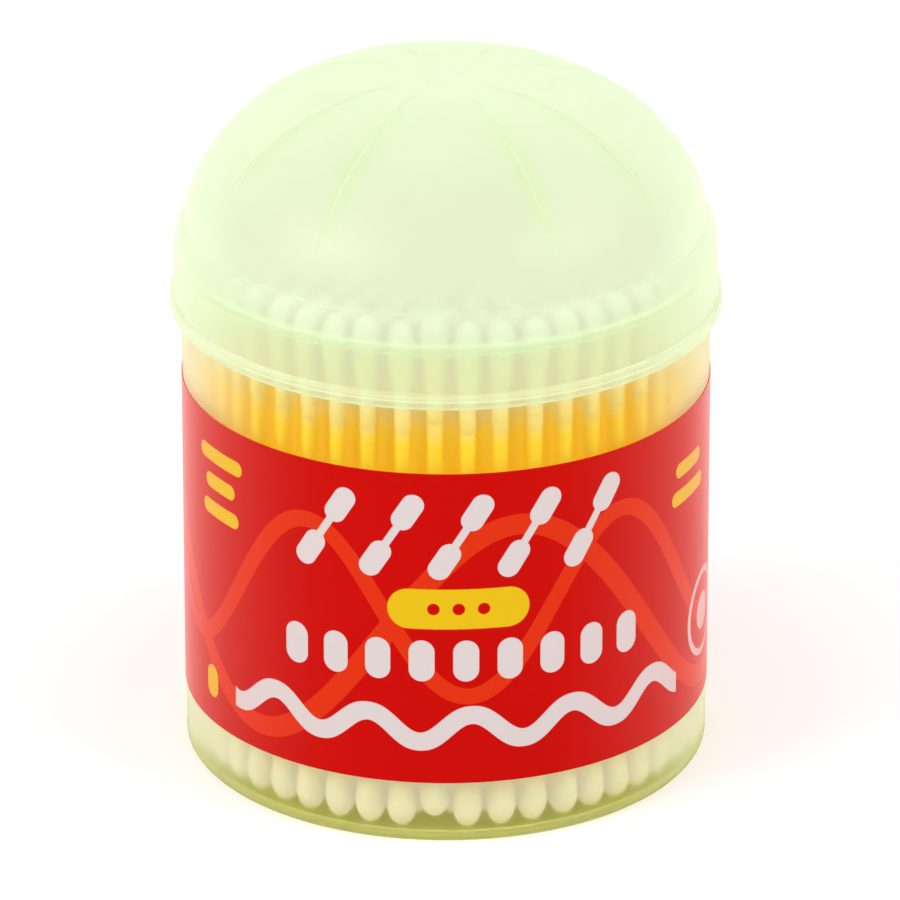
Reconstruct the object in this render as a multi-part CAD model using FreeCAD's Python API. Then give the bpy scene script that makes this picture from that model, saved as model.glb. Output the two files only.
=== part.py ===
import FreeCAD, Part

import math
import os

# A round clear tub of double-ended cotton swabs with a domed lift-off lid and a wrapped film label.
# Millimetres, +Z up. The origin is the middle of the base, on the table. The front faces -Y.

# Tub: the clear moulded cup
tub_radius = 36.1
tub_wall = 0.9
floor_thickness = 0.9
foot_recess = 0.3
foot_ring_width = 2.6
base_round = 1.4
inner_base_chamfer = 0.5
rim_chamfer = 0.2

# Label: the film sleeve round the tub's wall, with its ends lapped at the back
label_bottom = 9.25
band_above_label = 9.85
label_thickness = 0.1
label_glue_line = 0.03
label_lap_width = 8.0

# Lid: the skirt over the tub's rim, the step that rests on the rim, the rounded shoulder and the dome
lid_wall = 0.95
skirt_clearance = 0.1
skirt_depth = 7.4
bead_height = 2.3
bead_proud = 0.5
bead_lead_in = 0.3
step_thickness = 0.8
step_clearance = 0.1
shoulder_start = 0.5
shoulder_height = 4.9
shoulder_set_in = 1.41
dome_notch = 0.1
dome_height = 20.2
dome_crown_radius = 1.5
dome_side_power = 2.6
dome_top_power = 1.68

# Dome ridges: four wide and four narrow petals, flatter towards the crown
first_ridge_azimuth = -30.6
wide_petal_angle = 56.0
ridge_repeats = 4
petal_flatness_share = 0.28
petal_fade_power = 1.5
dome_levels = 9

# Swabs: a stick with a wound cotton tip on each end, standing in rings on the floor
swab_length = 74.8
stick_diameter = 2.2
tip_diameter = 4.1
tip_length = 16.0
tip_end_diameter = 2.3
tip_neck_diameter = 2.7
tip_round_length = 1.9
tip_body_length = 7.5
tip_body_taper = 0.25
tip_wall_clearance = 0.45
ring_gap = 0.12
swab_gap = 0.32
tip_above_rim = 3.6
smallest_ring_swabs = 3
outer_ring_offset_share = -0.34
ring_stagger_share = 0.5

# Sides of the swabs' solids: the ring behind the clear wall is finer than those inside the bundle
stick_sides = 4
outer_tip_sides = 5
inner_tip_sides = 4
middle_tip_sides = 5

# What follows from the sizes above
tub_inner_radius = tub_radius - tub_wall
floor_top = foot_recess + floor_thickness
swab_top = floor_top + swab_length
tub_height = swab_top - tip_above_rim
skirt_inner_radius = tub_radius + skirt_clearance
skirt_outer_radius = skirt_inner_radius + lid_wall
skirt_bottom = tub_height - skirt_depth
label_top = skirt_bottom - band_above_label
step_inner_radius = tub_inner_radius + step_clearance
step_top = tub_height + step_thickness
shoulder_bottom = tub_height + shoulder_start
shoulder_top = shoulder_bottom + shoulder_height
shoulder_round = (shoulder_height ** 2 + shoulder_set_in ** 2) / (2 * shoulder_set_in)
shoulder_top_radius = skirt_outer_radius - shoulder_set_in
outer_ring_radius = tub_inner_radius - tip_wall_clearance - tip_diameter / 2
ring_pitch = tip_diameter + ring_gap
swab_pitch = tip_diameter + swab_gap
smallest_ring_radius = swab_pitch / (2 * math.sin(math.pi / smallest_ring_swabs))
ring_count = 1 + int((outer_ring_radius - smallest_ring_radius) / ring_pitch)


def point(radius, z):
    """A point of a half section, in the XZ plane."""
    return FreeCAD.Vector(radius, 0, z)


def polar(radius, azimuth, z):
    """A point by its azimuth in degrees: 0 is the front, at -Y, and +90 is +X."""
    turn = math.radians(azimuth)
    return FreeCAD.Vector(radius * math.sin(turn), -radius * math.cos(turn), z)


def line(start, end):
    return Part.LineSegment(start, end).toShape()


def arc(start, middle, end):
    return Part.Arc(start, middle, end).toShape()


def quarter_round(start, end, centre):
    """A quarter circle from start to end about its centre."""
    radius = start.distanceToPoint(centre)
    outward = (start + end) * 0.5 - centre
    return arc(start, centre + outward.normalize() * radius, end)


def revolve(edges, angle=360.0):
    """The solid that a closed half section sweeps about Z."""
    face = Part.Face(Part.Wire(edges))
    return face.revolve(FreeCAD.Vector(0, 0, 0), FreeCAD.Vector(0, 0, 1), angle)


def save(name, shape):
    """Write one node, after a look at whether its solids are sound."""
    if not shape.isValid():
        raise RuntimeError(name + " is not a valid shape")
    shape.exportStep("parts/" + name + ".step")
    print(f"{name}: {len(shape.Solids)} solids, {shape.Volume / 1000:.3f} cm3")


def make_tub():
    """A cup of even wall: foot ring, rounded base corner, straight wall and a plain chamfered rim."""
    foot_outer = tub_radius - base_round
    foot_inner = foot_outer - foot_ring_width
    inner_corner = tub_inner_radius - inner_base_chamfer
    rim_outer = tub_radius - rim_chamfer
    rim_inner = tub_inner_radius + rim_chamfer
    outline = [
        line(point(0, foot_recess), point(foot_inner - foot_recess, foot_recess)),
        line(point(foot_inner - foot_recess, foot_recess), point(foot_inner, 0)),
        line(point(foot_inner, 0), point(foot_outer, 0)),
        quarter_round(point(foot_outer, 0), point(tub_radius, base_round), point(foot_outer, base_round)),
        line(point(tub_radius, base_round), point(tub_radius, tub_height - rim_chamfer)),
        line(point(tub_radius, tub_height - rim_chamfer), point(rim_outer, tub_height)),
        line(point(rim_outer, tub_height), point(rim_inner, tub_height)),
        line(point(rim_inner, tub_height), point(tub_inner_radius, tub_height - rim_chamfer)),
        line(
            point(tub_inner_radius, tub_height - rim_chamfer),
            point(tub_inner_radius, floor_top + inner_base_chamfer),
        ),
        line(point(tub_inner_radius, floor_top + inner_base_chamfer), point(inner_corner, floor_top)),
        line(point(inner_corner, floor_top), point(0, floor_top)),
        line(point(0, floor_top), point(0, foot_recess)),
    ]
    return revolve(outline)


def label_ring(inner_radius, angle):
    """A turn of film, from +X round towards the back by the angle given."""
    outer_radius = inner_radius + label_thickness
    corners = [
        point(inner_radius, label_bottom),
        point(outer_radius, label_bottom),
        point(outer_radius, label_top),
        point(inner_radius, label_top),
    ]
    outline = [line(corners[i], corners[(i + 1) % 4]) for i in range(4)]
    return revolve(outline, angle)


def make_label():
    """One sleeve of film. Its lapped end is a second thickness over a short stretch at the back."""
    inner_radius = tub_radius + label_glue_line
    sleeve = label_ring(inner_radius, 360.0)
    lap_angle = math.degrees(label_lap_width / tub_radius)
    lap = label_ring(inner_radius + label_thickness, lap_angle)
    turn_to_back = 90.0 - lap_angle / 2
    lap.rotate(FreeCAD.Vector(0, 0, 0), FreeCAD.Vector(0, 0, 1), turn_to_back)
    return sleeve.fuse(lap).removeSplitter()


def ridge_azimuths():
    """The azimuths of the dome's ridges: a wide petal and a narrow one, repeated round the lid."""
    azimuths = []
    for repeat in range(ridge_repeats):
        start = first_ridge_azimuth + repeat * 360.0 / ridge_repeats
        azimuths.append(start)
        azimuths.append(start + wide_petal_angle)
    return azimuths


def petal_section(ridge_radius, flatness, z):
    """One level of the dome: an arc from each ridge to the next, flattened by a share of its bow."""
    azimuths = ridge_azimuths()
    edges = []
    for i, azimuth in enumerate(azimuths):
        if i + 1 < len(azimuths):
            following = azimuths[i + 1]
        else:
            following = azimuths[0] + 360.0
        half_angle = math.radians(following - azimuth) / 2
        bow = ridge_radius * (1 - math.cos(half_angle))
        middle = polar(ridge_radius - flatness * bow, (azimuth + following) / 2, z)
        edges.append(arc(polar(ridge_radius, azimuth, z), middle, polar(ridge_radius, following, z)))
    return Part.Wire(edges)


def dome(base_radius, height, crown_radius):
    """A loft through the levels of a superellipse dome, from its base circle to a small flat crown."""
    crown_turn = math.acos((crown_radius / base_radius) ** (dome_side_power / 2))
    sections = []
    for level in range(dome_levels + 1):
        turn = crown_turn * level / dome_levels
        ridge_radius = base_radius * math.cos(turn) ** (2 / dome_side_power)
        z = shoulder_top + height * math.sin(turn) ** (2 / dome_top_power)
        flatness = petal_flatness_share * math.sin(turn) ** petal_fade_power
        sections.append(petal_section(ridge_radius, flatness, z))
    return Part.makeLoft(sections, True, False)


def shoulder_arc(inset):
    """The shoulder's round, moved in from the outside by the inset. It returns its start and end too."""
    centre_radius = skirt_outer_radius - shoulder_round
    radius = shoulder_round - inset
    end_turn = math.asin(shoulder_height / radius)
    start = point(centre_radius + radius, shoulder_bottom)
    end = point(centre_radius + radius * math.cos(end_turn), shoulder_top)
    middle = point(
        centre_radius + radius * math.cos(end_turn / 2),
        shoulder_bottom + radius * math.sin(end_turn / 2),
    )
    return arc(start, middle, end), start, end


def make_lid():
    """One frosted shell: the outer form, less a hollow of the same form set in by the wall."""
    bead_radius = skirt_outer_radius + bead_proud
    bead_top = skirt_bottom + bead_height
    shoulder, shoulder_foot, shoulder_head = shoulder_arc(0.0)
    outer_outline = [
        line(point(0, skirt_bottom), point(bead_radius - bead_lead_in, skirt_bottom)),
        line(point(bead_radius - bead_lead_in, skirt_bottom), point(bead_radius, skirt_bottom + bead_lead_in)),
        line(point(bead_radius, skirt_bottom + bead_lead_in), point(bead_radius, bead_top - bead_proud)),
        quarter_round(
            point(bead_radius, bead_top - bead_proud),
            point(skirt_outer_radius, bead_top),
            point(skirt_outer_radius, bead_top - bead_proud),
        ),
        line(point(skirt_outer_radius, bead_top), shoulder_foot),
        shoulder,
        line(shoulder_head, point(0, shoulder_top)),
        line(point(0, shoulder_top), point(0, skirt_bottom)),
    ]
    outer_form = revolve(outer_outline).fuse(
        dome(shoulder_head.x - dome_notch, dome_height, dome_crown_radius)
    )

    inner_shoulder, inner_foot, inner_head = shoulder_arc(lid_wall)
    hollow_outline = [
        line(point(0, step_top), point(inner_foot.x, step_top)),
        line(point(inner_foot.x, step_top), inner_foot),
        inner_shoulder,
        line(inner_head, point(0, shoulder_top)),
        line(point(0, shoulder_top), point(0, step_top)),
    ]
    hollow = revolve(hollow_outline).fuse(
        dome(inner_head.x - dome_notch, dome_height - lid_wall, dome_crown_radius)
    )
    rim_space = Part.makeCylinder(skirt_inner_radius, skirt_depth, point(0, skirt_bottom))
    step_hole = Part.makeCylinder(step_inner_radius, step_thickness, point(0, tub_height))
    return outer_form.cut(hollow.fuse(rim_space).fuse(step_hole))


def stack(sides, levels, centre, azimuth):
    """A closed solid through polygons of the same sides, one at each (z, radius) of the levels.

    A flat side faces the tub's axis. The corners stand out of the true round by as much as the
    middles of the sides lie within it.
    """
    spread = 2 / (1 + math.cos(math.pi / sides))
    rings = []
    for z, radius in levels:
        corners = []
        for side in range(sides):
            turn = azimuth + (side + 0.5) * 360.0 / sides
            corner = polar(radius * spread, turn, z)
            corners.append(corner + FreeCAD.Vector(centre.x, centre.y, 0))
        rings.append(corners)
    faces = [Part.Face(Part.makePolygon(ring + ring[:1])) for ring in (rings[0], rings[-1])]
    for lower, upper in zip(rings, rings[1:]):
        for side in range(sides):
            following = (side + 1) % sides
            corners = [lower[side], lower[following], upper[following], upper[side]]
            faces.append(Part.Face(Part.makePolygon(corners + corners[:1])))
    return Part.Solid(Part.Shell(faces))


def tip_levels(swab_end, inward, bands):
    """The (z, radius) levels of a cotton tip, from the swab's end inward (+1 is up, -1 is down)."""
    full_radius = tip_diameter / 2
    levels = [(0.0, tip_end_diameter / 2), (tip_round_length, full_radius)]
    if bands > 2:
        levels.append((tip_body_length, full_radius - tip_body_taper))
    levels.append((tip_length, tip_neck_diameter / 2))
    return [(swab_end + inward * depth, radius) for depth, radius in levels]


def ring_radius(ring):
    return outer_ring_radius - (ring_count - ring) * ring_pitch


def swab_places(ring):
    """The centre and azimuth of each swab in a ring: as many as stand clear of each other."""
    radius = ring_radius(ring)
    count = int(math.pi / math.asin(swab_pitch / (2 * radius)))
    offset = outer_ring_offset_share + ring_stagger_share * (ring_count - ring)
    turns = [360.0 * (swab + offset) / count for swab in range(count)]
    return [(polar(radius, turn, 0), turn) for turn in turns]


def make_swab_ring(ring):
    """The sticks, upper tips and lower tips of one ring, each a group of separate solids."""
    stick_ends = [(floor_top + tip_length, stick_diameter / 2), (swab_top - tip_length, stick_diameter / 2)]
    if ring == ring_count:
        sides, bands = outer_tip_sides, 3
    elif ring == 1:
        sides, bands = middle_tip_sides, 2
    else:
        sides, bands = inner_tip_sides, 2
    sticks, upper_tips, lower_tips = [], [], []
    for centre, turn in swab_places(ring):
        sticks.append(stack(stick_sides, stick_ends, centre, turn))
        upper_tips.append(stack(sides, tip_levels(swab_top, -1, bands), centre, turn))
        lower_tips.append(stack(sides, tip_levels(floor_top, 1, bands), centre, turn))
    return sticks, upper_tips, lower_tips


os.makedirs("parts", exist_ok=True)

save("tub", make_tub())
save("label", make_label())
save("lid", make_lid())

swab_total = 0
for ring in range(1, ring_count + 1):
    sticks, upper_tips, lower_tips = make_swab_ring(ring)
    save(f"sticks_ring_{ring}", Part.makeCompound(sticks))
    save(f"upper_tips_ring_{ring}", Part.makeCompound(upper_tips))
    save(f"lower_tips_ring_{ring}", Part.makeCompound(lower_tips))
    swab_total += len(sticks)
print(f"{swab_total} swabs in {ring_count} rings")
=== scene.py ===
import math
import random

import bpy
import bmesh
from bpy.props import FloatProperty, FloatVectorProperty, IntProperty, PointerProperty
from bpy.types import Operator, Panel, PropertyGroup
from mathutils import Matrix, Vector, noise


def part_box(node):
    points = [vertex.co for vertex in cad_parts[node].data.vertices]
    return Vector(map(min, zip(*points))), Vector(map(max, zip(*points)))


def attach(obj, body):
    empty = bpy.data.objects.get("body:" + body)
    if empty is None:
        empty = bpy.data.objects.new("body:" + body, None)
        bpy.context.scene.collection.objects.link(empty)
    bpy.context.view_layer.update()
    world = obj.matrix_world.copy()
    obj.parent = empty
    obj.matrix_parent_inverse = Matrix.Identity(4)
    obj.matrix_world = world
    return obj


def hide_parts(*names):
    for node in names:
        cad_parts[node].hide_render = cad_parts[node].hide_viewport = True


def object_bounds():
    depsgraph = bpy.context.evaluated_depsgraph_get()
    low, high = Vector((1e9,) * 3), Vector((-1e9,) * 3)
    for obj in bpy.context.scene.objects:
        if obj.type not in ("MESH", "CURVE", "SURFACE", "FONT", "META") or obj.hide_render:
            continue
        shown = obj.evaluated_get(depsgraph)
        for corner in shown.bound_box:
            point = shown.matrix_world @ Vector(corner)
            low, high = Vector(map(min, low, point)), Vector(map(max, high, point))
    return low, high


bl_info = {
    "name": "Cotton swab tub",
    "version": (1, 0, 0),
    "blender": (4, 5, 0),
    "location": "3D View > Sidebar > Swab tub",
    "description": "Dresses a domed tub of cotton swabs: lid, tub, printed label, sticks, tips and stage",
    "category": "Object",
}

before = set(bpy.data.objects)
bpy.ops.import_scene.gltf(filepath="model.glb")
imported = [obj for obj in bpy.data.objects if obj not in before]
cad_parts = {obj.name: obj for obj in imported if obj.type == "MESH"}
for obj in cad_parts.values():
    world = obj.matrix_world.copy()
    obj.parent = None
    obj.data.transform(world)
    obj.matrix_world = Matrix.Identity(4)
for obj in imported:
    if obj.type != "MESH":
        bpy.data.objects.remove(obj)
cad_low, cad_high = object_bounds()

# Sizes that the parts of model.glb give, in metres
MM = 0.001
tub_low, tub_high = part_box("tub")
label_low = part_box("label")[0]
lid_low, lid_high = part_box("lid")
sticks_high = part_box("sticks_ring_1")[1]
ring_count = sum(1 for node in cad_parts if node.startswith("sticks_ring_"))
tub_radius = (tub_high.x - tub_low.x) / 2


class SwabSizes(PropertyGroup):
    """The swabs' own sizes and how unevenly they stand."""

    stick_diameter: FloatProperty(
        name="Stick diameter",
        description="Across a stick",
        default=2.2 * MM,
        unit="LENGTH",
        precision=4,
    )
    tip_diameter: FloatProperty(
        name="Tip diameter",
        description="Across a tip at its widest",
        default=4.1 * MM,
        unit="LENGTH",
        precision=4,
    )
    neck_diameter: FloatProperty(
        name="Neck diameter",
        description="Across the cotton where it thins out on the stick",
        default=2.2 * MM,
        unit="LENGTH",
        precision=4,
    )
    nose_share: FloatProperty(
        name="Rounded end", description="Share of a tip's length that its rounded end takes", default=0.20
    )
    lump_height: FloatProperty(
        name="Lumps",
        description="How far the wound cotton swells in and out",
        default=0.09 * MM,
        unit="LENGTH",
        precision=5,
    )
    raised_lift: FloatProperty(
        name="Raised swab",
        description="How far one swab at the front stands off the floor",
        default=1.6 * MM,
        unit="LENGTH",
        precision=4,
    )
    raised_azimuth: FloatProperty(
        name="Raised swab's place",
        description="Where it stands, to the right of the front",
        default=math.radians(-2.7),
        subtype="ANGLE",
    )
    lift: FloatProperty(
        name="Uneven tops",
        description="How far a swab's length varies",
        default=0.5 * MM,
        unit="LENGTH",
        precision=5,
    )
    seed: IntProperty(name="Seed", description="Seed of the uneven standing", default=7)


def colour_property(name, description, default):
    return FloatVectorProperty(name=name, description=description, subtype="COLOR", default=default)


class FinishColours(PropertyGroup):
    """The colours of the finishes, as linear values."""

    lid: colour_property("Lid", "Frosted lid", (0.875, 0.965, 0.77))
    lime: colour_property("Lime", "Lid where it looks thick", (0.80, 0.985, 0.60))
    tub: colour_property("Tub", "Clear tub", (0.985, 0.99, 0.82))
    tub_depth: colour_property("Tub depth", "What thick plastic lets through", (0.78, 0.78, 0.22))
    tub_foot: colour_property("Tub foot", "The tub's lowest edge", (0.31, 0.34, 0.05))
    tub_milk: colour_property("Tub milk", "The haze at the tub's sides", (0.93, 0.95, 0.80))
    stick: colour_property("Sticks", "Sticks", (0.955, 0.715, 0.008))
    stick_glow: colour_property("Stick glow", "Light from stick to stick", (1.0, 0.58, 0.0))
    cotton: colour_property("Cotton", "Tips", (0.87, 0.85, 0.82))
    # Painted light: the cotton's warm tone stands for light bounced off the yellow sticks; fibres trailing
    # off the sticks' tops take it too
    stick_lit_cotton: colour_property("Warm cotton", "Tips where the sticks tint them", (0.95, 0.76, 0.38))
    cotton_glow: colour_property("Cotton glow", "Light from tip to tip", (0.92, 0.84, 0.68))
    red: colour_property("Red", "Label field", (0.475, 0.0, 0.0))
    warm_red: colour_property("Warm red", "Label wave bands", (0.60, 0.026, 0.004))
    film_sheen: colour_property("Film sheen", "Label at a slant", (1.0, 0.12, 0.07))
    white: colour_property("White", "Label white", (0.575, 0.53, 0.52))
    yellow: colour_property("Yellow", "Label yellow", (0.65, 0.43, 0.007))
    floor: colour_property("Floor", "Stage floor", (0.93, 0.93, 0.93))


class StageSettings(PropertyGroup):
    """The camera and the light."""

    camera_distance: FloatProperty(
        name="Camera distance",
        description="From the tub's axis, along the floor",
        default=1.108,
        unit="LENGTH",
    )
    camera_height: FloatProperty(
        name="Camera height", description="Over the floor", default=0.5429, unit="LENGTH"
    )
    camera_pitch: FloatProperty(
        name="Camera pitch", description="Down from level", default=math.radians(24.31), subtype="ANGLE"
    )
    camera_turn: FloatProperty(
        name="Camera turn",
        description="To the right of the axis",
        default=math.radians(0.028),
        subtype="ANGLE",
    )
    lens: FloatProperty(name="Lens", description="Focal length in mm on a 36 mm sensor", default=353.6)
    sky_light: FloatProperty(
        name="Sky light", description="Strength of the soft light all round", default=1.05
    )
    key_light: FloatProperty(name="Key light", description="Power of the left lamp, in watts", default=4.6)
    fill_light: FloatProperty(name="Fill light", description="Power of the right lamp, in watts", default=3.4)


class SwabTubSettings(PropertyGroup):
    """Everything that the panel shows."""

    swabs: PointerProperty(type=SwabSizes)
    colours: PointerProperty(type=FinishColours)
    stage: PointerProperty(type=StageSettings)


# Node trees

class Tree:
    """Short calls for building a node tree, in a material or in a group."""

    def __init__(self, node_tree):
        self.nodes = node_tree.nodes
        self.links = node_tree.links

    def plug(self, value, socket):
        """Link an output to a socket, or set the socket's own value."""
        if isinstance(value, bpy.types.NodeSocket):
            self.links.new(value, socket)
        else:
            socket.default_value = value

    def node(self, kind, inputs=None, **settings):
        made = self.nodes.new(kind)
        for name, value in settings.items():
            setattr(made, name, value)
        for name, value in (inputs or {}).items():
            self.plug(value, made.inputs[name])
        return made

    def math(self, operation, a, b=0.0, c=0.0, clamp=False):
        made = self.node("ShaderNodeMath", operation=operation, use_clamp=clamp)
        for value, socket in zip((a, b, c), made.inputs):
            self.plug(value, socket)
        return made.outputs[0]

    def mix(self, share, below, above):
        """The colour below, covered by the colour above by its share."""
        made = self.node("ShaderNodeMix", data_type="RGBA")
        self.plug(share, made.inputs[0])
        self.plug(below, made.inputs[6])
        self.plug(above, made.inputs[7])
        return made.outputs[2]

    def remap(self, value, low, high, to_low=0.0, to_high=1.0):
        made = self.node("ShaderNodeMapRange", clamp=True)
        for entry, socket in zip((value, low, high, to_low, to_high), made.inputs):
            self.plug(entry, socket)
        return made.outputs[0]

    def group(self, group, inputs):
        made = self.node("ShaderNodeGroup", node_tree=group)
        for name, value in inputs.items():
            self.plug(value, made.inputs[name])
        return made.outputs


def colour4(colour):
    return (*colour, 1.0)


def new_group(name, inputs, outputs):
    """An empty shader group. Sockets are (name, kind, default) for inputs and (name, kind) for outputs."""
    group = bpy.data.node_groups.new(name, "ShaderNodeTree")
    for socket_name, kind, default in inputs:
        socket = group.interface.new_socket(name=socket_name, in_out="INPUT", socket_type=kind)
        socket.default_value = default
    for socket_name, kind in outputs:
        group.interface.new_socket(name=socket_name, in_out="OUTPUT", socket_type=kind)
    tree = Tree(group)
    return group, tree, tree.node("NodeGroupInput").outputs, tree.node("NodeGroupOutput").inputs


FLOAT = "NodeSocketFloat"
COLOUR = "NodeSocketColor"
VECTOR = "NodeSocketVector"


def grain_group():
    """Fine grain: a height and a mask from two sizes of noise."""
    group, tree, given, made = new_group(
        "Fine grain",
        [("Position", VECTOR, (0, 0, 0)), ("Scale", FLOAT, 1000.0), ("Coarse share", FLOAT, 0.3)],
        [("Height", FLOAT), ("Mask", FLOAT)],
    )
    fine = tree.node(
        "ShaderNodeTexNoise",
        {"Vector": given["Position"], "Scale": given["Scale"], "Detail": 3.0, "Roughness": 0.6},
    ).outputs["Fac"]
    coarse_scale = tree.math("MULTIPLY", given["Scale"], 0.12)
    coarse = tree.node(
        "ShaderNodeTexNoise", {"Vector": given["Position"], "Scale": coarse_scale, "Detail": 2.0}
    ).outputs["Fac"]
    coarse_part = tree.math("MULTIPLY", coarse, given["Coarse share"])
    fine_part = tree.math("MULTIPLY", fine, tree.math("SUBTRACT", 1.0, given["Coarse share"]))
    height = tree.math("ADD", coarse_part, fine_part)
    tree.plug(height, made["Height"])
    tree.plug(tree.remap(coarse, 0.35, 0.65), made["Mask"])
    return group


def mottle_group():
    """Mottle: a colour that varies softly, as moulded plastic and cotton do."""
    group, tree, given, made = new_group(
        "Soft mottle",
        [
            ("Position", VECTOR, (0, 0, 0)),
            ("Colour", COLOUR, (1, 1, 1, 1)),
            ("Shade", COLOUR, (0, 0, 0, 1)),
            ("Scale", FLOAT, 100.0),
            ("Share", FLOAT, 0.1),
        ],
        [("Colour", COLOUR)],
    )
    clouds = tree.node(
        "ShaderNodeTexNoise", {"Vector": given["Position"], "Scale": given["Scale"], "Detail": 4.0}
    ).outputs["Fac"]
    share = tree.math("MULTIPLY", tree.remap(clouds, 0.35, 0.7), given["Share"])
    tree.plug(tree.mix(share, given["Colour"], given["Shade"]), made["Colour"])
    return group


def dust_group():
    """Dust: a mask of small specks, in a share of the cells that they could lie in."""
    group, tree, given, made = new_group(
        "Dust",
        [
            ("Position", VECTOR, (0, 0, 0)),
            ("Scale", FLOAT, 400.0),
            ("Share", FLOAT, 0.1),
            ("Size", FLOAT, 0.1),
        ],
        [("Mask", FLOAT)],
    )
    cells = tree.node("ShaderNodeTexVoronoi", {"Vector": given["Position"], "Scale": given["Scale"]}).outputs
    lot = tree.node("ShaderNodeSeparateColor", {"Color": cells["Color"]}).outputs[0]
    chosen = tree.math("LESS_THAN", lot, given["Share"])
    near = tree.remap(cells["Distance"], given["Size"], 0.0)
    tree.plug(tree.math("MULTIPLY", chosen, near), made["Mask"])
    return group


def ridge_group():
    """Ridge lines: masks of the fine line on each of the dome's ridges, and of the shade on either side."""
    group, tree, given, made = new_group(
        "Ridge lines",
        [
            ("Position", VECTOR, (0, 0, 0)),
            ("First azimuth", FLOAT, 0.0),
            ("Wide petal", FLOAT, 1.0),
            ("Line width", FLOAT, 0.001),
            ("Shade width", FLOAT, 0.004),
            ("Crown radius", FLOAT, 0.004),
            ("Fade from", FLOAT, 0.0),
            ("Fade to", FLOAT, 1.0),
        ],
        [("Line", FLOAT), ("Shade", FLOAT)],
    )
    split = tree.node("ShaderNodeSeparateXYZ", {"Vector": given["Position"]}).outputs
    towards_front = tree.math("MULTIPLY", split["Y"], -1.0)
    azimuth = tree.math("ARCTAN2", split["X"], towards_front)
    squares = tree.math("ADD", tree.math("POWER", split["X"], 2.0), tree.math("POWER", split["Y"], 2.0))
    radius = tree.math("SQRT", squares)
    second = tree.math("ADD", given["First azimuth"], given["Wide petal"])
    gaps = []
    for ridge in (given["First azimuth"], second):
        turned = tree.math("SUBTRACT", azimuth, ridge)
        quarter = math.pi / 2
        shifted = tree.math("FLOORED_MODULO", tree.math("ADD", turned, quarter / 2), quarter)
        gaps.append(tree.math("ABSOLUTE", tree.math("SUBTRACT", shifted, quarter / 2)))
    away = tree.math("MULTIPLY", tree.math("MINIMUM", *gaps), radius)
    faded = tree.remap(split["Z"], given["Fade from"], given["Fade to"])
    off_crown = tree.remap(radius, given["Crown radius"], tree.math("MULTIPLY", given["Crown radius"], 3.0))
    faded = tree.math("MULTIPLY", faded, off_crown)
    for name, width in (("Line", given["Line width"]), ("Shade", given["Shade width"])):
        near = tree.remap(away, tree.math("MULTIPLY", width, 0.5), 0.0)
        tree.plug(tree.math("MULTIPLY", near, faded), made[name])
    return group


def label_place_group():
    """Label place: millimetres round the tub from its front, and millimetres up from the label's edge."""
    group, tree, given, made = new_group(
        "Label place", [("Position", VECTOR, (0, 0, 0))], [("Round", FLOAT), ("Up", FLOAT)]
    )
    split = tree.node("ShaderNodeSeparateXYZ", {"Vector": given["Position"]}).outputs
    towards_front = tree.math("MULTIPLY", split["Y"], -1.0)
    azimuth = tree.math("ARCTAN2", split["X"], towards_front)
    tree.plug(tree.math("MULTIPLY", azimuth, tub_radius / MM), made["Round"])
    above_edge = tree.math("SUBTRACT", split["Z"], label_low.z)
    tree.plug(tree.math("MULTIPLY", above_edge, 1.0 / MM), made["Up"])
    return group


def printed_bar_group():
    """Printed bar: the mask of a bar with round ends, turned about its middle. Lengths are in mm."""
    group, tree, given, made = new_group(
        "Printed bar",
        [
            ("Round", FLOAT, 0.0),
            ("Up", FLOAT, 0.0),
            ("Middle round", FLOAT, 0.0),
            ("Middle up", FLOAT, 0.0),
            ("Half length", FLOAT, 5.0),
            ("Radius", FLOAT, 1.0),
            ("Turn", FLOAT, 0.0),
        ],
        [("Mask", FLOAT)],
    )
    x = tree.math("SUBTRACT", given["Round"], given["Middle round"])
    y = tree.math("SUBTRACT", given["Up"], given["Middle up"])
    cosine = tree.math("COSINE", given["Turn"])
    sine = tree.math("SINE", given["Turn"])
    along = tree.math("ADD", tree.math("MULTIPLY", x, cosine), tree.math("MULTIPLY", y, sine))
    across = tree.math("SUBTRACT", tree.math("MULTIPLY", y, cosine), tree.math("MULTIPLY", x, sine))
    past_end = tree.math("SUBTRACT", tree.math("ABSOLUTE", along), given["Half length"])
    past_end = tree.math("MAXIMUM", past_end, 0.0)
    squares = tree.math("ADD", tree.math("POWER", past_end, 2.0), tree.math("MULTIPLY", across, across))
    inside = tree.math("SUBTRACT", given["Radius"], tree.math("SQRT", squares))
    tree.plug(tree.remap(inside, -INK_EDGE, INK_EDGE), made["Mask"])
    return group


def printed_wave_group():
    """Printed wave: the mask of a band that runs round the label in a sine wave. Lengths are in mm."""
    group, tree, given, made = new_group(
        "Printed wave",
        [
            ("Round", FLOAT, 0.0),
            ("Up", FLOAT, 0.0),
            ("Middle up", FLOAT, 0.0),
            ("Swing", FLOAT, 5.0),
            ("Length", FLOAT, 50.0),
            ("Shift", FLOAT, 0.0),
            ("Width", FLOAT, 2.0),
        ],
        [("Mask", FLOAT)],
    )
    rate = tree.math("DIVIDE", 2 * math.pi, given["Length"])
    phase = tree.math("MULTIPLY", tree.math("ADD", given["Round"], given["Shift"]), rate)
    swing = tree.math("MULTIPLY", tree.math("SINE", phase), given["Swing"])
    off_line = tree.math("SUBTRACT", given["Up"], tree.math("ADD", given["Middle up"], swing))
    steepness = tree.math("MULTIPLY", tree.math("MULTIPLY", tree.math("COSINE", phase), given["Swing"]), rate)
    lengthened = tree.math("SQRT", tree.math("ADD", tree.math("MULTIPLY", steepness, steepness), 1.0))
    off_band = tree.math("DIVIDE", tree.math("ABSOLUTE", off_line), lengthened)
    inside = tree.math("SUBTRACT", tree.math("MULTIPLY", given["Width"], 0.5), off_band)
    tree.plug(tree.remap(inside, -INK_EDGE, INK_EDGE), made["Mask"])
    return group


# How soft the edge of the ink is, each way, in mm
INK_EDGE = 0.04

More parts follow.
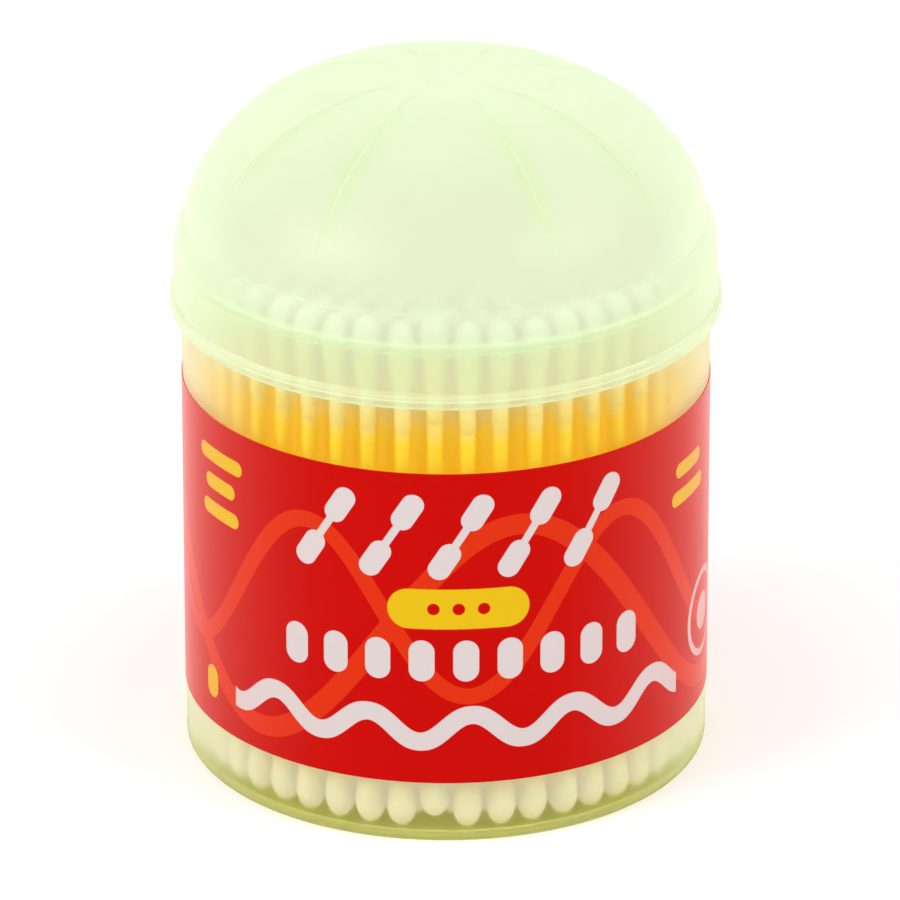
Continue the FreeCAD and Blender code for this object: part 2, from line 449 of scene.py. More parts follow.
GROUP_MAKERS = {
    "grain": grain_group,
    "mottle": mottle_group,
    "dust": dust_group,
    "ridges": ridge_group,
    "label_place": label_place_group,
    "bar": printed_bar_group,
    "wave": printed_wave_group,
}
made_groups = {}


def shared_group(name):
    """Each group is built once and then placed in every material that uses it."""
    if name not in made_groups:
        made_groups[name] = GROUP_MAKERS[name]()
    return made_groups[name]


def new_material(name):
    material = bpy.data.materials.new(name)
    material.use_nodes = True
    material.node_tree.nodes.clear()
    tree = Tree(material.node_tree)
    place = tree.node("ShaderNodeTexCoord").outputs["Object"]
    return material, tree, place


def close_material(tree, surface, volume=None):
    output = tree.node("ShaderNodeOutputMaterial")
    tree.plug(surface, output.inputs["Surface"])
    if volume is not None:
        tree.plug(volume, output.inputs["Volume"])


def bump(tree, height, strength, distance):
    return tree.node(
        "ShaderNodeBump", {"Height": height, "Strength": strength, "Distance": distance}
    ).outputs["Normal"]


# Materials

# The dome's ridges, as they stand on the lid's own form
FIRST_RIDGE = math.radians(-30.6)
WIDE_PETAL = math.radians(56.0)

# The ridges' fine lines and the shade beside them, and how far below the lid's top they fade out
RIDGE_LINE_WIDTH = 0.7 * MM
RIDGE_SHADE_WIDTH = 5.0 * MM
RIDGE_CROWN_RADIUS = 4.0 * MM
RIDGES_GONE_BELOW_TOP = 15.0 * MM
RIDGES_FULL_BELOW_TOP = 8.0 * MM

# Painted highlight lines where the lid's wall gathers light: the seat over the step and the upper edge of the
# bead
SEAT_LINE_UP = 9.0 * MM
SEAT_LINE_WIDTH = 1.0 * MM
BEAD_LINE_UP = 1.25 * MM
BEAD_LINE_WIDTH = 0.7 * MM

# The heights between which the tub's corner and its foot darken
CORNER_TOP_UP = 4.5 * MM
CORNER_LOW_UP = 1.0 * MM
FOOT_TOP_UP = 1.8 * MM
FOOT_LOW_UP = 0.7 * MM

# How far loose fibres trail off below the upper tips
TRAIL_LENGTH = 2.2 * MM
TRAIL_INTO_TIP = 0.3 * MM


def lit_through(tree, surface, tint):
    """The surface, with lamps and scattered light let in to what stands behind it."""
    path = tree.node("ShaderNodeLightPath").outputs
    open_way = tree.node("ShaderNodeBsdfTransparent", {"Color": colour4(tint)}).outputs[0]
    for kind in ("Is Shadow Ray", "Is Diffuse Ray"):
        surface = tree.node("ShaderNodeMixShader", {0: path[kind], 1: surface, 2: open_way}).outputs[0]
    return surface


def lit_by_neighbours(tree, surface, colour, strength):
    """The surface. To scattered rays it is a steady glow, for light that goes from swab to swab."""
    path = tree.node("ShaderNodeLightPath").outputs
    glow = tree.node("ShaderNodeEmission", {"Color": colour4(colour), "Strength": strength}).outputs[0]
    return tree.node("ShaderNodeMixShader", {0: path["Is Diffuse Ray"], 1: surface, 2: glow}).outputs[0]


def level_line(tree, height, level, width):
    """The mask of a fine level line, soft at both edges."""
    away = tree.math("ABSOLUTE", tree.math("SUBTRACT", height, level))
    return tree.remap(away, width / 2, 0.0)


def lid_material(colours):
    """Frosted lime plastic: it blurs what is behind it, and part of the light scatters in its milk."""
    material, tree, place = new_material("frosted_lime_plastic")
    grain = tree.group(shared_group("grain"), {"Position": place, "Scale": 2600.0, "Coarse share": 0.25})
    dust = tree.group(
        shared_group("dust"), {"Position": place, "Scale": 220.0, "Share": 0.05, "Size": 0.07}
    )["Mask"]
    colour = tree.group(
        shared_group("mottle"),
        {
            "Position": place,
            "Colour": colour4(colours.lid),
            "Shade": colour4([0.95 * value for value in colours.lid]),
            "Scale": 55.0,
            "Share": 0.5,
        },
    )["Colour"]
    colour = tree.mix(tree.math("MULTIPLY", dust, 0.35), colour, (0.35, 0.33, 0.22, 1.0))
    ridges = tree.group(
        shared_group("ridges"),
        {
            "Position": place,
            "First azimuth": FIRST_RIDGE,
            "Wide petal": WIDE_PETAL,
            "Line width": RIDGE_LINE_WIDTH,
            "Shade width": RIDGE_SHADE_WIDTH,
            "Crown radius": RIDGE_CROWN_RADIUS,
            "Fade from": lid_high.z - RIDGES_GONE_BELOW_TOP,
            "Fade to": lid_high.z - RIDGES_FULL_BELOW_TOP,
        },
    )
    height = tree.node("ShaderNodeSeparateXYZ", {"Vector": place}).outputs["Z"]
    seat = level_line(tree, height, lid_low.z + SEAT_LINE_UP, SEAT_LINE_WIDTH)
    bead = level_line(tree, height, lid_low.z + BEAD_LINE_UP, BEAD_LINE_WIDTH)
    lines = tree.math("MAXIMUM", tree.math("MULTIPLY", seat, 0.65), bead)
    facing = tree.node("ShaderNodeLayerWeight", {"Blend": 0.5}).outputs["Facing"]
    edge = tree.remap(facing, 0.35, 0.85)
    # The lid turns lime where it looks thick at its edges; beside the ridges this is painted shade, and at
    # the seat and the bead it is painted highlight lines
    deeper = tree.math("MAXIMUM", tree.math("MULTIPLY", ridges["Shade"], 0.7), edge)
    deeper = tree.math("MAXIMUM", deeper, lines)
    colour = tree.mix(deeper, colour, colour4(colours.lime))
    grained = bump(tree, grain["Height"], 0.10, 0.00012)
    normal = tree.node(
        "ShaderNodeBump",
        {"Height": ridges["Line"], "Strength": 0.5, "Distance": 0.25 * MM, "Normal": grained},
    ).outputs["Normal"]
    roughness = tree.remap(grain["Mask"], 0.0, 1.0, 0.36, 0.42)
    clear = tree.node(
        "ShaderNodeBsdfPrincipled",
        {
            "Base Color": colour,
            "Roughness": roughness,
            "IOR": 1.30,
            "Transmission Weight": 1.0,
            "Normal": normal,
        },
    ).outputs[0]
    pale = tree.mix(0.35, colour, (1.0, 1.0, 0.97, 1.0))
    milk = tree.node("ShaderNodeBsdfTranslucent", {"Color": pale, "Normal": normal}).outputs[0]
    skin = tree.node(
        "ShaderNodeBsdfPrincipled",
        {
            "Base Color": pale,
            "Roughness": 0.45,
            "Coat Weight": 0.6,
            "Coat Roughness": 0.36,
            "Normal": normal,
        },
    ).outputs[0]
    scattered = tree.node("ShaderNodeMixShader", {0: 0.28, 1: skin, 2: milk}).outputs[0]
    share = tree.remap(edge, 0.0, 1.0, 0.17, 0.55)
    # Painted highlight: the milk rises on the ridge lines and on the seat and bead lines, so they show as
    # bright lines
    share = tree.math("MAXIMUM", share, tree.math("MULTIPLY", ridges["Line"], 0.4))
    share = tree.math("MAXIMUM", share, tree.math("MULTIPLY", lines, 0.7))
    surface = tree.node("ShaderNodeMixShader", {0: share, 1: clear, 2: scattered}).outputs[0]
    close_material(tree, lit_through(tree, surface, [value ** 0.5 for value in colours.lid]))
    return material


def tub_material(colours):
    """Clear plastic with a little milk and a faint tint that deepens where the plastic is thick."""
    material, tree, place = new_material("clear_tinted_plastic")
    grain = tree.group(shared_group("grain"), {"Position": place, "Scale": 320.0, "Coarse share": 0.6})
    colour = tree.group(
        shared_group("mottle"),
        {
            "Position": place,
            "Colour": colour4(colours.tub),
            "Shade": colour4([0.97 * value for value in colours.tub]),
            "Scale": 70.0,
            "Share": 0.5,
        },
    )["Colour"]
    height = tree.node("ShaderNodeSeparateXYZ", {"Vector": place}).outputs["Z"]
    corner = tree.remap(height, tub_low.z + CORNER_TOP_UP, tub_low.z + CORNER_LOW_UP, 0.0, 0.6)
    colour = tree.mix(corner, colour, colour4(colours.tub_depth))
    foot = tree.remap(height, tub_low.z + FOOT_TOP_UP, tub_low.z + FOOT_LOW_UP, 0.0, 0.8)
    colour = tree.mix(foot, colour, colour4(colours.tub_foot))
    grained = tree.remap(grain["Mask"], 0.0, 1.0, 0.34, 0.40)
    roughness = tree.math("ADD", grained, tree.math("MULTIPLY", corner, 0.3))
    clear = tree.node(
        "ShaderNodeBsdfPrincipled",
        {
            "Base Color": colour,
            "Roughness": roughness,
            "IOR": 1.14,
            "Transmission Weight": 1.0,
            "Normal": bump(tree, grain["Height"], 0.01, 0.0002),
        },
    ).outputs[0]
    through = tree.node("ShaderNodeBsdfTranslucent", {"Color": colour4(colours.tub_milk)}).outputs[0]
    back = tree.node("ShaderNodeBsdfDiffuse", {"Color": colour4(colours.tub_milk)}).outputs[0]
    milk = tree.node("ShaderNodeMixShader", {0: 0.6, 1: through, 2: back}).outputs[0]
    facing = tree.node("ShaderNodeLayerWeight", {"Blend": 0.5}).outputs["Facing"]
    milky = tree.remap(facing, 0.35, 0.85, 0.005, 0.5)
    share = tree.math("MULTIPLY", milky, tree.math("SUBTRACT", 1.0, corner))
    surface = tree.node("ShaderNodeMixShader", {0: share, 1: clear, 2: milk}).outputs[0]
    depth = tree.node(
        "ShaderNodeVolumeAbsorption", {"Color": colour4(colours.tub_depth), "Density": 95.0}
    ).outputs[0]
    close_material(tree, lit_through(tree, surface, [value ** 0.5 for value in colours.tub]), depth)
    return material


def stick_material(colours):
    """Extruded yellow plastic, faintly ribbed along its length, with fibres trailing off at its top."""
    material, tree, place = new_material("yellow_stick_plastic")
    drawn_out = tree.node("ShaderNodeMapping", {"Vector": place, "Scale": (1.0, 1.0, 0.02)}).outputs[0]
    grain = tree.group(shared_group("grain"), {"Position": drawn_out, "Scale": 2200.0, "Coarse share": 0.2})
    colour = tree.group(
        shared_group("mottle"),
        {
            "Position": place,
            "Colour": colour4(colours.stick),
            "Shade": colour4((colours.stick[0] * 0.95, colours.stick[1] * 0.82, colours.stick[2] * 0.6)),
            "Scale": 90.0,
            "Share": 0.6,
        },
    )["Colour"]
    height = tree.node("ShaderNodeSeparateXYZ", {"Vector": place}).outputs["Z"]
    trail_from = sticks_high.z - TRAIL_LENGTH
    trailing = tree.remap(height, trail_from, sticks_high.z + TRAIL_INTO_TIP, 0.0, 0.75)
    # The trailing fibres take the cotton colour that is warmed by painted light from the sticks
    colour = tree.mix(trailing, colour, colour4(colours.stick_lit_cotton))
    shell = tree.node(
        "ShaderNodeBsdfPrincipled",
        {
            "Base Color": colour,
            "Roughness": tree.remap(grain["Mask"], 0.0, 1.0, 0.34, 0.46),
            "IOR": 1.46,
            "Normal": bump(tree, grain["Height"], 0.15, 0.00005),
        },
    ).outputs[0]
    glow = tree.node("ShaderNodeBsdfTranslucent", {"Color": colour}).outputs[0]
    surface = tree.node("ShaderNodeMixShader", {0: 0.3, 1: shell, 2: glow}).outputs[0]
    close_material(tree, lit_by_neighbours(tree, surface, colours.stick_glow, 1.1))
    material.cycles.emission_sampling = "NONE"
    return material


def cotton_material(colours):
    """Wound cotton: fibres laid round the tip at a shallow slant, loose ones across them, a soft sheen."""
    material, tree, place = new_material("wound_cotton")
    winding = tree.node("ShaderNodeUVMap", uv_map="winding").outputs[0]
    slant = tree.node(
        "ShaderNodeMapping", {"Vector": winding, "Rotation": (0, 0, 0.06), "Scale": (4.0, 46.0, 1.0)}
    ).outputs[0]
    wound = tree.node(
        "ShaderNodeTexNoise",
        {"Vector": slant, "Scale": 1.6, "Detail": 5.0, "Roughness": 0.65, "Distortion": 0.6},
    ).outputs["Fac"]
    loose = tree.group(shared_group("grain"), {"Position": place, "Scale": 2400.0, "Coarse share": 0.35})
    height = tree.math("ADD", tree.math("MULTIPLY", wound, 0.6), tree.math("MULTIPLY", loose["Height"], 0.4))
    mottled = tree.group(
        shared_group("mottle"),
        {
            "Position": place,
            "Colour": colour4(colours.cotton),
            "Shade": colour4([0.86 * value for value in colours.cotton]),
            "Scale": 700.0,
            "Share": 0.55,
        },
    )["Colour"]
    # Painted shade: the cotton darkens where the wound fibres lie low
    fibre_hollow_shade = tree.remap(height, 0.62, 0.38, 0.0, 0.35)
    colour = tree.mix(fibre_hollow_shade, mottled, colour4([0.80 * value for value in colours.cotton]))
    depth_on_tip = tree.node("ShaderNodeSeparateXYZ", {"Vector": winding}).outputs["Y"]
    # Painted light: the inner part of each tip warms towards the sticks, for light bounced off them
    stick_light_share = tree.remap(depth_on_tip, 0.25, 0.8, 0.0, 0.7)
    colour = tree.mix(stick_light_share, colour, colour4(colours.stick_lit_cotton))
    thin_end = tree.math("ADD", depth_on_tip, tree.math("MULTIPLY", wound, 0.12))
    colour = tree.mix(tree.remap(thin_end, 0.84, 1.10, 0.0, 0.5), colour, colour4(colours.stick))
    fibres = tree.node(
        "ShaderNodeBsdfPrincipled",
        {
            "Base Color": colour,
            "Roughness": 0.92,
            "Sheen Weight": 0.35,
            "Sheen Roughness": 0.5,
            "Normal": bump(tree, height, 0.6, 0.00012),
        },
    ).outputs[0]
    glow = tree.node("ShaderNodeBsdfTranslucent", {"Color": colour}).outputs[0]
    surface = tree.node("ShaderNodeMixShader", {0: 0.25, 1: fibres, 2: glow}).outputs[0]
    close_material(tree, lit_by_neighbours(tree, surface, colours.cotton_glow, 0.80))
    material.cycles.emission_sampling = "NONE"
    return material


# The label's print. Lengths are in mm round the tub from the front and up from the label's lower edge.
WAVES_ROUND_TUB = (3, 5)
WAVE_MIDDLES = (21.0, 25.0)
WAVE_SWINGS = (17.0, 12.0)
WAVE_SHIFTS = (9.0, 31.0)
WAVE_WIDTHS = (3.0, 2.4)


class Print:
    """Makes the masks of printed shapes on the label."""

    def __init__(self, tree, place):
        self.tree = tree
        outputs = tree.group(shared_group("label_place"), {"Position": place})
        self.round = outputs["Round"]
        self.up = outputs["Up"]

    def bar(self, middle, half_length, radius, turn=0.0, round_place=None):
        return self.tree.group(
            shared_group("bar"),
            {
                "Round": self.round if round_place is None else round_place,
                "Up": self.up,
                "Middle round": middle[0],
                "Middle up": middle[1],
                "Half length": half_length,
                "Radius": radius,
                "Turn": turn,
            },
        )["Mask"]

    def wave(self, middle_up, swing, length, shift, width):
        return self.tree.group(
            shared_group("wave"),
            {
                "Round": self.round,
                "Up": self.up,
                "Middle up": middle_up,
                "Swing": swing,
                "Length": length,
                "Shift": shift,
                "Width": width,
            },
        )["Mask"]

    def repeated(self, middle, pitch):
        """The distance round from the nearest of a row of places, a pitch apart."""
        from_middle = self.tree.math("SUBTRACT", self.round, middle)
        shifted = self.tree.math("ADD", from_middle, pitch / 2)
        return self.tree.math("SUBTRACT", self.tree.math("FLOORED_MODULO", shifted, pitch), pitch / 2)

    def within(self, middle, half_width):
        """A mask that keeps a row to a stretch of the label."""
        away = self.tree.math("ABSOLUTE", self.tree.math("SUBTRACT", self.round, middle))
        return self.tree.math("LESS_THAN", away, half_width)

    def either(self, *masks):
        joined = masks[0]
        for mask in masks[1:]:
            joined = self.tree.math("MAXIMUM", joined, mask)
        return joined

    def both(self, a, b):
        return self.tree.math("MULTIPLY", a, b)


def swab_row(ink):
    """A row of five small swab shapes, leaning the same way."""
    pitch, count, middle, lean = 9.4, 5, 2.0, math.radians(58)
    up, half_stick, bud_half, bud_radius = 36.6, 4.2, 1.3, 1.55
    place = ink.repeated(middle, pitch)
    stick = ink.bar((0.0, up), half_stick, 0.55, lean, place)
    buds = []
    for side in (-1, 1):
        offset = side * half_stick
        centre = (offset * math.cos(lean), up + offset * math.sin(lean))
        buds.append(ink.bar(centre, bud_half, bud_radius, lean, place))
    return ink.both(ink.either(stick, *buds), ink.within(middle, pitch * count / 2))


def oval_row(ink):
    """A row of upright ovals."""
    pitch, count, middle = 6.0, 9, 2.7
    oval = ink.bar((0.0, 18.3), 1.3, 1.75, math.pi / 2, ink.repeated(middle, pitch))
    return ink.both(oval, ink.within(middle, pitch * count / 2))


def ribbon(ink):
    """A short white ribbon in even waves."""
    wave = ink.wave(8.2, 2.0, 14.2, 0.0, 2.7)
    return ink.both(wave, ink.within(2.5, 35.5))


def stacked_bars(ink, middle_round, top_up, pitch, half_lengths):
    bars = [
        ink.bar((middle_round, top_up - i * pitch), half_length, 1.1)
        for i, half_length in enumerate(half_lengths)
    ]
    return ink.either(*bars)


def ring_mark(ink, middle, radius, width):
    """A plain ring with a round dot in its middle."""
    outer = ink.bar(middle, 0.0, radius)
    inner = ink.bar(middle, 0.0, radius - width)
    dot = ink.bar(middle, 0.0, radius * 0.42)
    ring = ink.tree.math("SUBTRACT", outer, inner)
    return ink.either(ring, dot)


def label_material(colours):
    """Glossy printed film: a red field, two warm wave bands, and plain white and yellow shapes."""
    material, tree, place = new_material("printed_label_film")
    ink = Print(tree, place)
    round_tub = 2 * math.pi * tub_radius / MM
    bands = [
        ink.wave(middle, swing, round_tub / count, shift, width)
        for count, middle, swing, shift, width in zip(
            WAVES_ROUND_TUB, WAVE_MIDDLES, WAVE_SWINGS, WAVE_SHIFTS, WAVE_WIDTHS
        )
    ]
    colour = tree.group(
        shared_group("mottle"),
        {
            "Position": place,
            "Colour": colour4(colours.red),
            "Shade": colour4([0.93 * value for value in colours.red]),
            "Scale": 60.0,
            "Share": 0.6,
        },
    )["Colour"]
    colour = tree.mix(ink.either(*bands), colour, colour4(colours.warm_red))
    white = ink.either(swab_row(ink), oval_row(ink), ribbon(ink), ring_mark(ink, (48.0, 13.0), 6.4, 1.0))
    colour = tree.mix(white, colour, colour4(colours.white))
    yellow = ink.either(
        ink.bar((1.7, 26.0), 6.7, 2.95),
        stacked_bars(ink, -36.5, 40.5, 4.0, (4.2, 2.6, 3.4)),
        stacked_bars(ink, 41.5, 38.0, 4.0, (3.0, 4.0)),
        ink.bar((-39.0, 6.2), 0.9, 1.5, math.pi / 2),
    )
    colour = tree.mix(yellow, colour, colour4(colours.yellow))
    dots = ink.both(
        ink.bar((0.0, 26.0), 0.0, 0.85, 0.0, ink.repeated(1.7, 3.4)), ink.within(1.7, 5.1)
    )
    colour = tree.mix(dots, colour, colour4(colours.red))
    grain = tree.group(shared_group("grain"), {"Position": place, "Scale": 240.0, "Coarse share": 0.7})
    facing = tree.node("ShaderNodeLayerWeight", {"Blend": 0.5}).outputs["Facing"]
    surface = tree.node(
        "ShaderNodeBsdfPrincipled",
        {
            "Base Color": colour,
            "Roughness": tree.remap(grain["Mask"], 0.0, 1.0, 0.30, 0.36),
            "Specular IOR Level": 0.02,
            "Coat Weight": tree.remap(facing, 0.2, 0.9, 0.0, 0.75),
            "Coat Roughness": 0.12,
            "Sheen Weight": 0.75,
            "Sheen Roughness": 0.5,
            "Sheen Tint": colour4(colours.film_sheen),
            "Normal": bump(tree, grain["Height"], 0.04, 0.0003),
        },
    ).outputs[0]
    close_material(tree, surface)
    return material


# Swabs

def swab_centres(ring):
    """The middle of each stick of a ring, as (x, y), in the order of its azimuth."""
    loose = bmesh.new()
    loose.from_mesh(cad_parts[f"sticks_ring_{ring}"].data)
    bmesh.ops.remove_doubles(loose, verts=loose.verts, dist=0.001 * MM)
    waiting = set(loose.verts)
    centres = []
    while waiting:
        island = [waiting.pop()]
        for vertex in island:
            for edge in vertex.link_edges:
                other = edge.other_vert(vertex)
                if other in waiting:
                    waiting.remove(other)
                    island.append(other)
        middle = sum((vertex.co for vertex in island), Vector()) / len(island)
        centres.append((middle.x, middle.y))
    loose.free()
    return sorted(centres, key=lambda centre: round(math.atan2(centre[0], -centre[1]), 6))


def bunched(count, slack, chance):
    """How far each swab of a ring has moved round: runs of neighbours stand pressed together."""
    shifts = []
    while len(shifts) < count:
        run = min(chance.randint(1, 5), count - len(shifts))
        pressed = slack * chance.uniform(0.4, 1.0)
        shifts += [((run - 1) / 2 - place) * pressed for place in range(run)]
    return shifts


def standing(ring, sizes):
    """How each swab of a ring stands: its foot, its top and its own seed."""
    chance = random.Random(sizes.seed * 100 + ring)
    floor_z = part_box(f"lower_tips_ring_{ring}")[0].z
    top_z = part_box(f"upper_tips_ring_{ring}")[1].z
    centres = swab_centres(ring)
    radius = math.hypot(*centres[0])
    pitch = 2 * radius * math.sin(math.pi / len(centres))
    slack = max(pitch - sizes.tip_diameter - sizes.lump_height, 0.0)
    top_shifts = bunched(len(centres), slack, chance)
    foot_shifts = bunched(len(centres), slack * 0.4, chance)
    swabs = []
    for (x, y), top_shift, foot_shift in zip(centres, top_shifts, foot_shifts):
        round_way = Vector((-y, x, 0.0)) / radius
        foot = Vector((x, y, floor_z)) + round_way * foot_shift
        top = Vector((x, y, top_z - chance.random() ** 2 * sizes.lift)) + round_way * top_shift
        swabs.append((foot, top, chance.random()))
    if ring == ring_count:
        away = [abs(math.atan2(x, -y) - sizes.raised_azimuth) for x, y in centres]
        place = away.index(min(away))
        foot, top, seed = swabs[place]
        raise_by = Vector((0, 0, sizes.raised_lift))
        swabs[place] = (foot + raise_by, top + raise_by, seed)
    return swabs


def along(foot, top, share):
    return foot + (top - foot) * share


class Shape:
    """Gathers closed turned shapes into one mesh."""

    def __init__(self):
        self.points = []
        self.faces = []
        self.winding = []

    def turned(self, rings, sides):
        """A closed form through rings: (centre, radius of each side, height on the winding map)."""
        first = len(self.points)
        for centre, radii, _ in rings:
            for side in range(sides):
                turn = 2 * math.pi * side / sides
                outwards = Vector((math.cos(turn), math.sin(turn), 0))
                self.points.append(centre + outwards * radii[side])
        for level in range(len(rings) - 1):
            low, high = rings[level][2], rings[level + 1][2]
            for side in range(sides):
                following = (side + 1) % sides
                a = first + level * sides
                b = a + sides
                self.faces.append((a + side, a + following, b + following, b + side))
                u, v = side / sides, (side + 1) / sides
                self.winding.append(((u, low), (v, low), (v, high), (u, high)))
        bottom = tuple(first + side for side in reversed(range(sides)))
        top = tuple(first + (len(rings) - 1) * sides + side for side in range(sides))
        for cap, height in ((bottom, rings[0][2]), (top, rings[-1][2])):
            self.faces.append(cap)
            self.winding.append([(0.5, height)] * sides)

    def object(self, name, material):
        mesh = bpy.data.meshes.new(name)
        mesh.from_pydata(self.points, [], self.faces)
        layer = mesh.uv_layers.new(name="winding")
        corner = 0
        for face in self.winding:
            for place in face:
                layer.data[corner].uv = place
                corner += 1
        mesh.shade_smooth()
        mesh.materials.append(material)
        mesh.update()
        piece = bpy.data.objects.new(name, mesh)
        bpy.context.scene.collection.objects.link(piece)
        return piece


def settle(piece, slot, *nodes):
    """The piece rides on the tub, and the nodes that it stands in for are hidden."""
    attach(piece, "tub")
    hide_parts(*nodes)


# A tip's form: how square its nose is, where along it the cotton starts to thin, and over how much of it
NOSE_POWER = 2.1
THINS_FROM = 0.12
THINS_OVER = 0.70


def smooth_step(share):
    share = min(max(share, 0.0), 1.0)
    return share * share * (3 - 2 * share)


def tip_profile(share, sizes):
    """A tip's radius at a share of its length from the swab's end: a round nose, a full body, a thin neck."""
    nose = min(share / sizes.nose_share, 1.0)
    rounded = max(1 - (1 - nose) ** NOSE_POWER, 0.0) ** (1 / NOSE_POWER)
    neck = sizes.neck_diameter / sizes.tip_diameter
    body = 1 - (1 - neck) * smooth_step((share - THINS_FROM) / THINS_OVER)
    return sizes.tip_diameter / 2 * rounded * body


def tip_shares(levels):
    """Shares of a tip's length, closer together at its rounded end."""
    return [(level / levels) ** 1.7 for level in range(levels + 1)]


def cotton_tips(ring, upper, sizes, material):
    """One ring of tips: turned, lumpy, closed forms, finer on the ring behind the clear wall."""
    where = "upper" if upper else "lower"
    node = f"{where}_tips_ring_{ring}"
    low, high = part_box(node)
    length = high.z - low.z
    sides, levels = (20, 22) if ring == ring_count else (12, 14)
    shape = Shape()
    for foot, top, seed in standing(ring, sizes):
        end, way = (top, (foot - top).normalized()) if upper else (foot, (top - foot).normalized())
        rings = []
        for share in tip_shares(levels):
            radius = max(tip_profile(share, sizes), 0.06 * MM)
            centre = end + way * (share * length)
            radii = []
            for side in range(sides):
                turn = 2 * math.pi * side / sides
                place = Vector((math.cos(turn), math.sin(turn), share * 5.0)) * 1.3
                place += Vector((0, 0, seed * 90))
                swell = noise.noise(place) * sizes.lump_height
                radii.append(radius + swell * min(radius / sizes.tip_diameter * 2, 1.0))
            rings.append((centre, radii, share))
        if upper:
            rings.reverse()
        shape.turned(rings, sides)
    piece = shape.object(f"cotton_{where}_ring_{ring}", material)
    settle(piece, "cotton", node)
    return piece


def sticks(ring, sizes, material):
    """One ring of sticks. Each runs a little way into the cotton at both ends."""
    node = f"sticks_ring_{ring}"
    low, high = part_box(node)
    into_cotton = 2.0 * MM
    radius = sizes.stick_diameter / 2
    sides = 18
    shape = Shape()
    for foot, top, _ in standing(ring, sizes):
        height = top.z - foot.z
        start = (low.z - into_cotton - foot.z) / height
        end = (high.z + into_cotton - foot.z) / height
        rings = [(along(foot, top, share), [radius] * sides, share) for share in (start, end)]
        shape.turned(rings, sides)
    piece = shape.object(f"yellow_sticks_ring_{ring}", material)
    settle(piece, "stick_plastic", node)
    return piece


# Operators

def settings():
    return bpy.context.scene.swab_tub


def dress(node, material):
    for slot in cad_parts[node].material_slots:
        slot.material = material


class SWABTUB_OT_sticks(Operator):
    """Make the yellow sticks of every ring"""

    bl_idname = "swab_tub.make_sticks"
    bl_label = "Make sticks"

    def execute(self, context):
        material = stick_material(settings().colours)
        for ring in range(1, ring_count + 1):
            sticks(ring, settings().swabs, material)
        return {"FINISHED"}


class SWABTUB_OT_tips(Operator):
    """Make the cotton tips of every ring, upper and lower"""

    bl_idname = "swab_tub.make_tips"
    bl_label = "Make cotton tips"

    def execute(self, context):
        material = cotton_material(settings().colours)
        for ring in range(1, ring_count + 1):
            for upper in (True, False):
                cotton_tips(ring, upper, settings().swabs, material)
        return {"FINISHED"}


class SWABTUB_OT_tub(Operator):
    """Give the tub its clear tinted plastic"""

    bl_idname = "swab_tub.finish_tub"
    bl_label = "Finish tub"

    def execute(self, context):
        dress("tub", tub_material(settings().colours))
        return {"FINISHED"}


class SWABTUB_OT_lid(Operator):
    """Give the lid its frosted lime plastic"""

    bl_idname = "swab_tub.finish_lid"
    bl_label = "Finish lid"

    def execute(self, context):
        dress("lid", lid_material(settings().colours))
        return {"FINISHED"}


class SWABTUB_OT_label(Operator):
    """Print the label's film"""

    bl_idname = "swab_tub.print_label"
    bl_label = "Print label"

    def execute(self, context):
        dress("label", label_material(settings().colours))
        return {"FINISHED"}


# The lamps stand well off the tub, to the left and the right of the camera
KEY_PLACE = (-0.85, -0.50, 0.80)
FILL_PLACE = (0.88, -0.45, 0.80)
LAMP_DIAMETER = 0.7


def add_lamp(name, place, target, size, power):
    """A round soft lamp, which isn't seen through clear plastic."""
    data = bpy.data.lights.new(name, "AREA")
    data.shape = "DISK"
    data.size = size
    data.energy = power
    lamp = bpy.data.objects.new(name, data)
    lamp.location = place
    lamp.rotation_euler = (Vector(target) - Vector(place)).to_track_quat("-Z", "Y").to_euler()
    lamp.visible_transmission = False
    bpy.context.scene.collection.objects.link(lamp)


def add_floor(colours):
    """A wide pale floor that keeps the tub's soft shadow."""
    bpy.ops.mesh.primitive_circle_add(vertices=96, radius=12.0, fill_type="NGON", location=(0, 0, cad_low.z))
    floor = bpy.context.object
    floor.name = "stage_floor"
    material, tree, _ = new_material("pale_floor")
    surface = tree.node(
        "ShaderNodeBsdfDiffuse", {"Color": colour4(colours.floor), "Roughness": 0.3}
    ).outputs[0]
    close_material(tree, surface)
    floor.data.materials.append(material)


def add_sky(strength):
    """Soft light from all round, and plain white to the camera, to gloss and through clear plastic."""
    world = bpy.data.worlds.new("soft_studio")
    bpy.context.scene.world = world
    world.use_nodes = True
    world.node_tree.nodes.clear()
    tree = Tree(world.node_tree)
    path = tree.node("ShaderNodeLightPath").outputs
    seen = tree.math("MAXIMUM", path["Is Camera Ray"], path["Is Glossy Ray"])
    seen = tree.math("MAXIMUM", seen, path["Is Transmission Ray"])
    light = tree.node("ShaderNodeBackground", {"Color": (1, 1, 1, 1), "Strength": strength}).outputs[0]
    white = tree.node("ShaderNodeBackground", {"Color": (1, 1, 1, 1), "Strength": 1.0}).outputs[0]
    shown = tree.node("ShaderNodeMixShader", {0: seen, 1: light, 2: white}).outputs[0]
    output = tree.node("ShaderNodeOutputWorld")
    tree.plug(shown, output.inputs["Surface"])


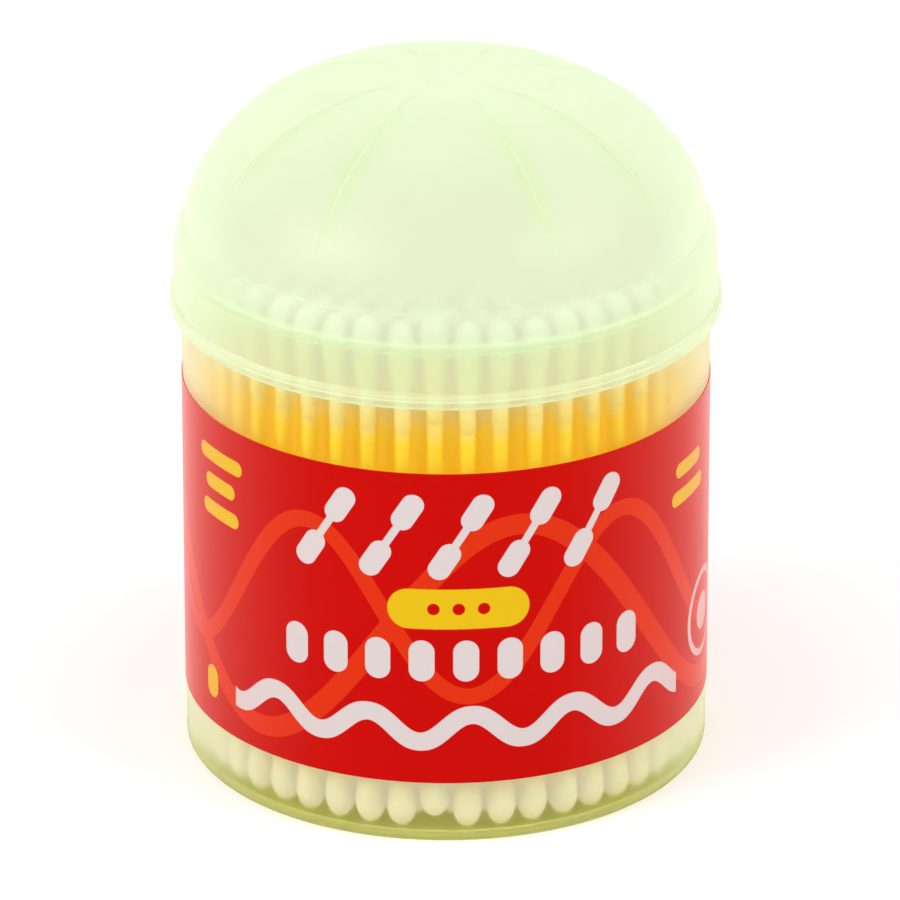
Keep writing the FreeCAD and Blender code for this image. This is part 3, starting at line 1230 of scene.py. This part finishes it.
def add_camera(stage):
    data = bpy.data.cameras.new("camera")
    data.lens = stage.lens
    data.sensor_width = 36.0
    camera = bpy.data.objects.new("camera", data)
    camera.location = (0, -stage.camera_distance, stage.camera_height)
    camera.rotation_euler = (math.pi / 2 - stage.camera_pitch, 0, -stage.camera_turn)
    bpy.context.scene.collection.objects.link(camera)
    bpy.context.scene.camera = camera


class SWABTUB_OT_stage(Operator):
    """Set up the floor, the soft light and the camera"""

    bl_idname = "swab_tub.set_stage"
    bl_label = "Set stage"

    def execute(self, context):
        stage = settings().stage
        add_floor(settings().colours)
        add_sky(stage.sky_light)
        middle = (0, 0, (cad_low.z + cad_high.z) / 2)
        add_lamp("key_lamp", KEY_PLACE, middle, LAMP_DIAMETER, stage.key_light)
        add_lamp("fill_lamp", FILL_PLACE, middle, LAMP_DIAMETER, stage.fill_light)
        add_camera(stage)
        context.scene.view_settings.view_transform = "Standard"
        return {"FINISHED"}


class SWABTUB_PT_panel(Panel):
    """The tub's settings and its pieces"""

    bl_idname = "SWABTUB_PT_panel"
    bl_label = "Swab tub"
    bl_space_type = "VIEW_3D"
    bl_region_type = "UI"
    bl_category = "Swab tub"

    def draw(self, context):
        layout = self.layout
        for group in (settings().swabs, settings().colours, settings().stage):
            box = layout.box()
            for name in group.bl_rna.properties.keys():
                if name not in ("rna_type", "name"):
                    box.prop(group, name)
        for operator in OPERATORS:
            layout.operator(operator.bl_idname)


OPERATORS = (
    SWABTUB_OT_sticks,
    SWABTUB_OT_tips,
    SWABTUB_OT_tub,
    SWABTUB_OT_lid,
    SWABTUB_OT_label,
    SWABTUB_OT_stage,
)
CLASSES = (SwabSizes, FinishColours, StageSettings, SwabTubSettings, *OPERATORS, SWABTUB_PT_panel)


def register():
    for item in CLASSES:
        bpy.utils.register_class(item)
    bpy.types.Scene.swab_tub = PointerProperty(type=SwabTubSettings)


def unregister():
    del bpy.types.Scene.swab_tub
    for item in reversed(CLASSES):
        bpy.utils.unregister_class(item)


def main():
    register()
    bpy.ops.swab_tub.make_sticks()
    bpy.ops.swab_tub.make_tips()
    bpy.ops.swab_tub.finish_tub()
    bpy.ops.swab_tub.finish_lid()
    bpy.ops.swab_tub.print_label()
    bpy.ops.swab_tub.set_stage()


if __name__ == "__main__":
    main()
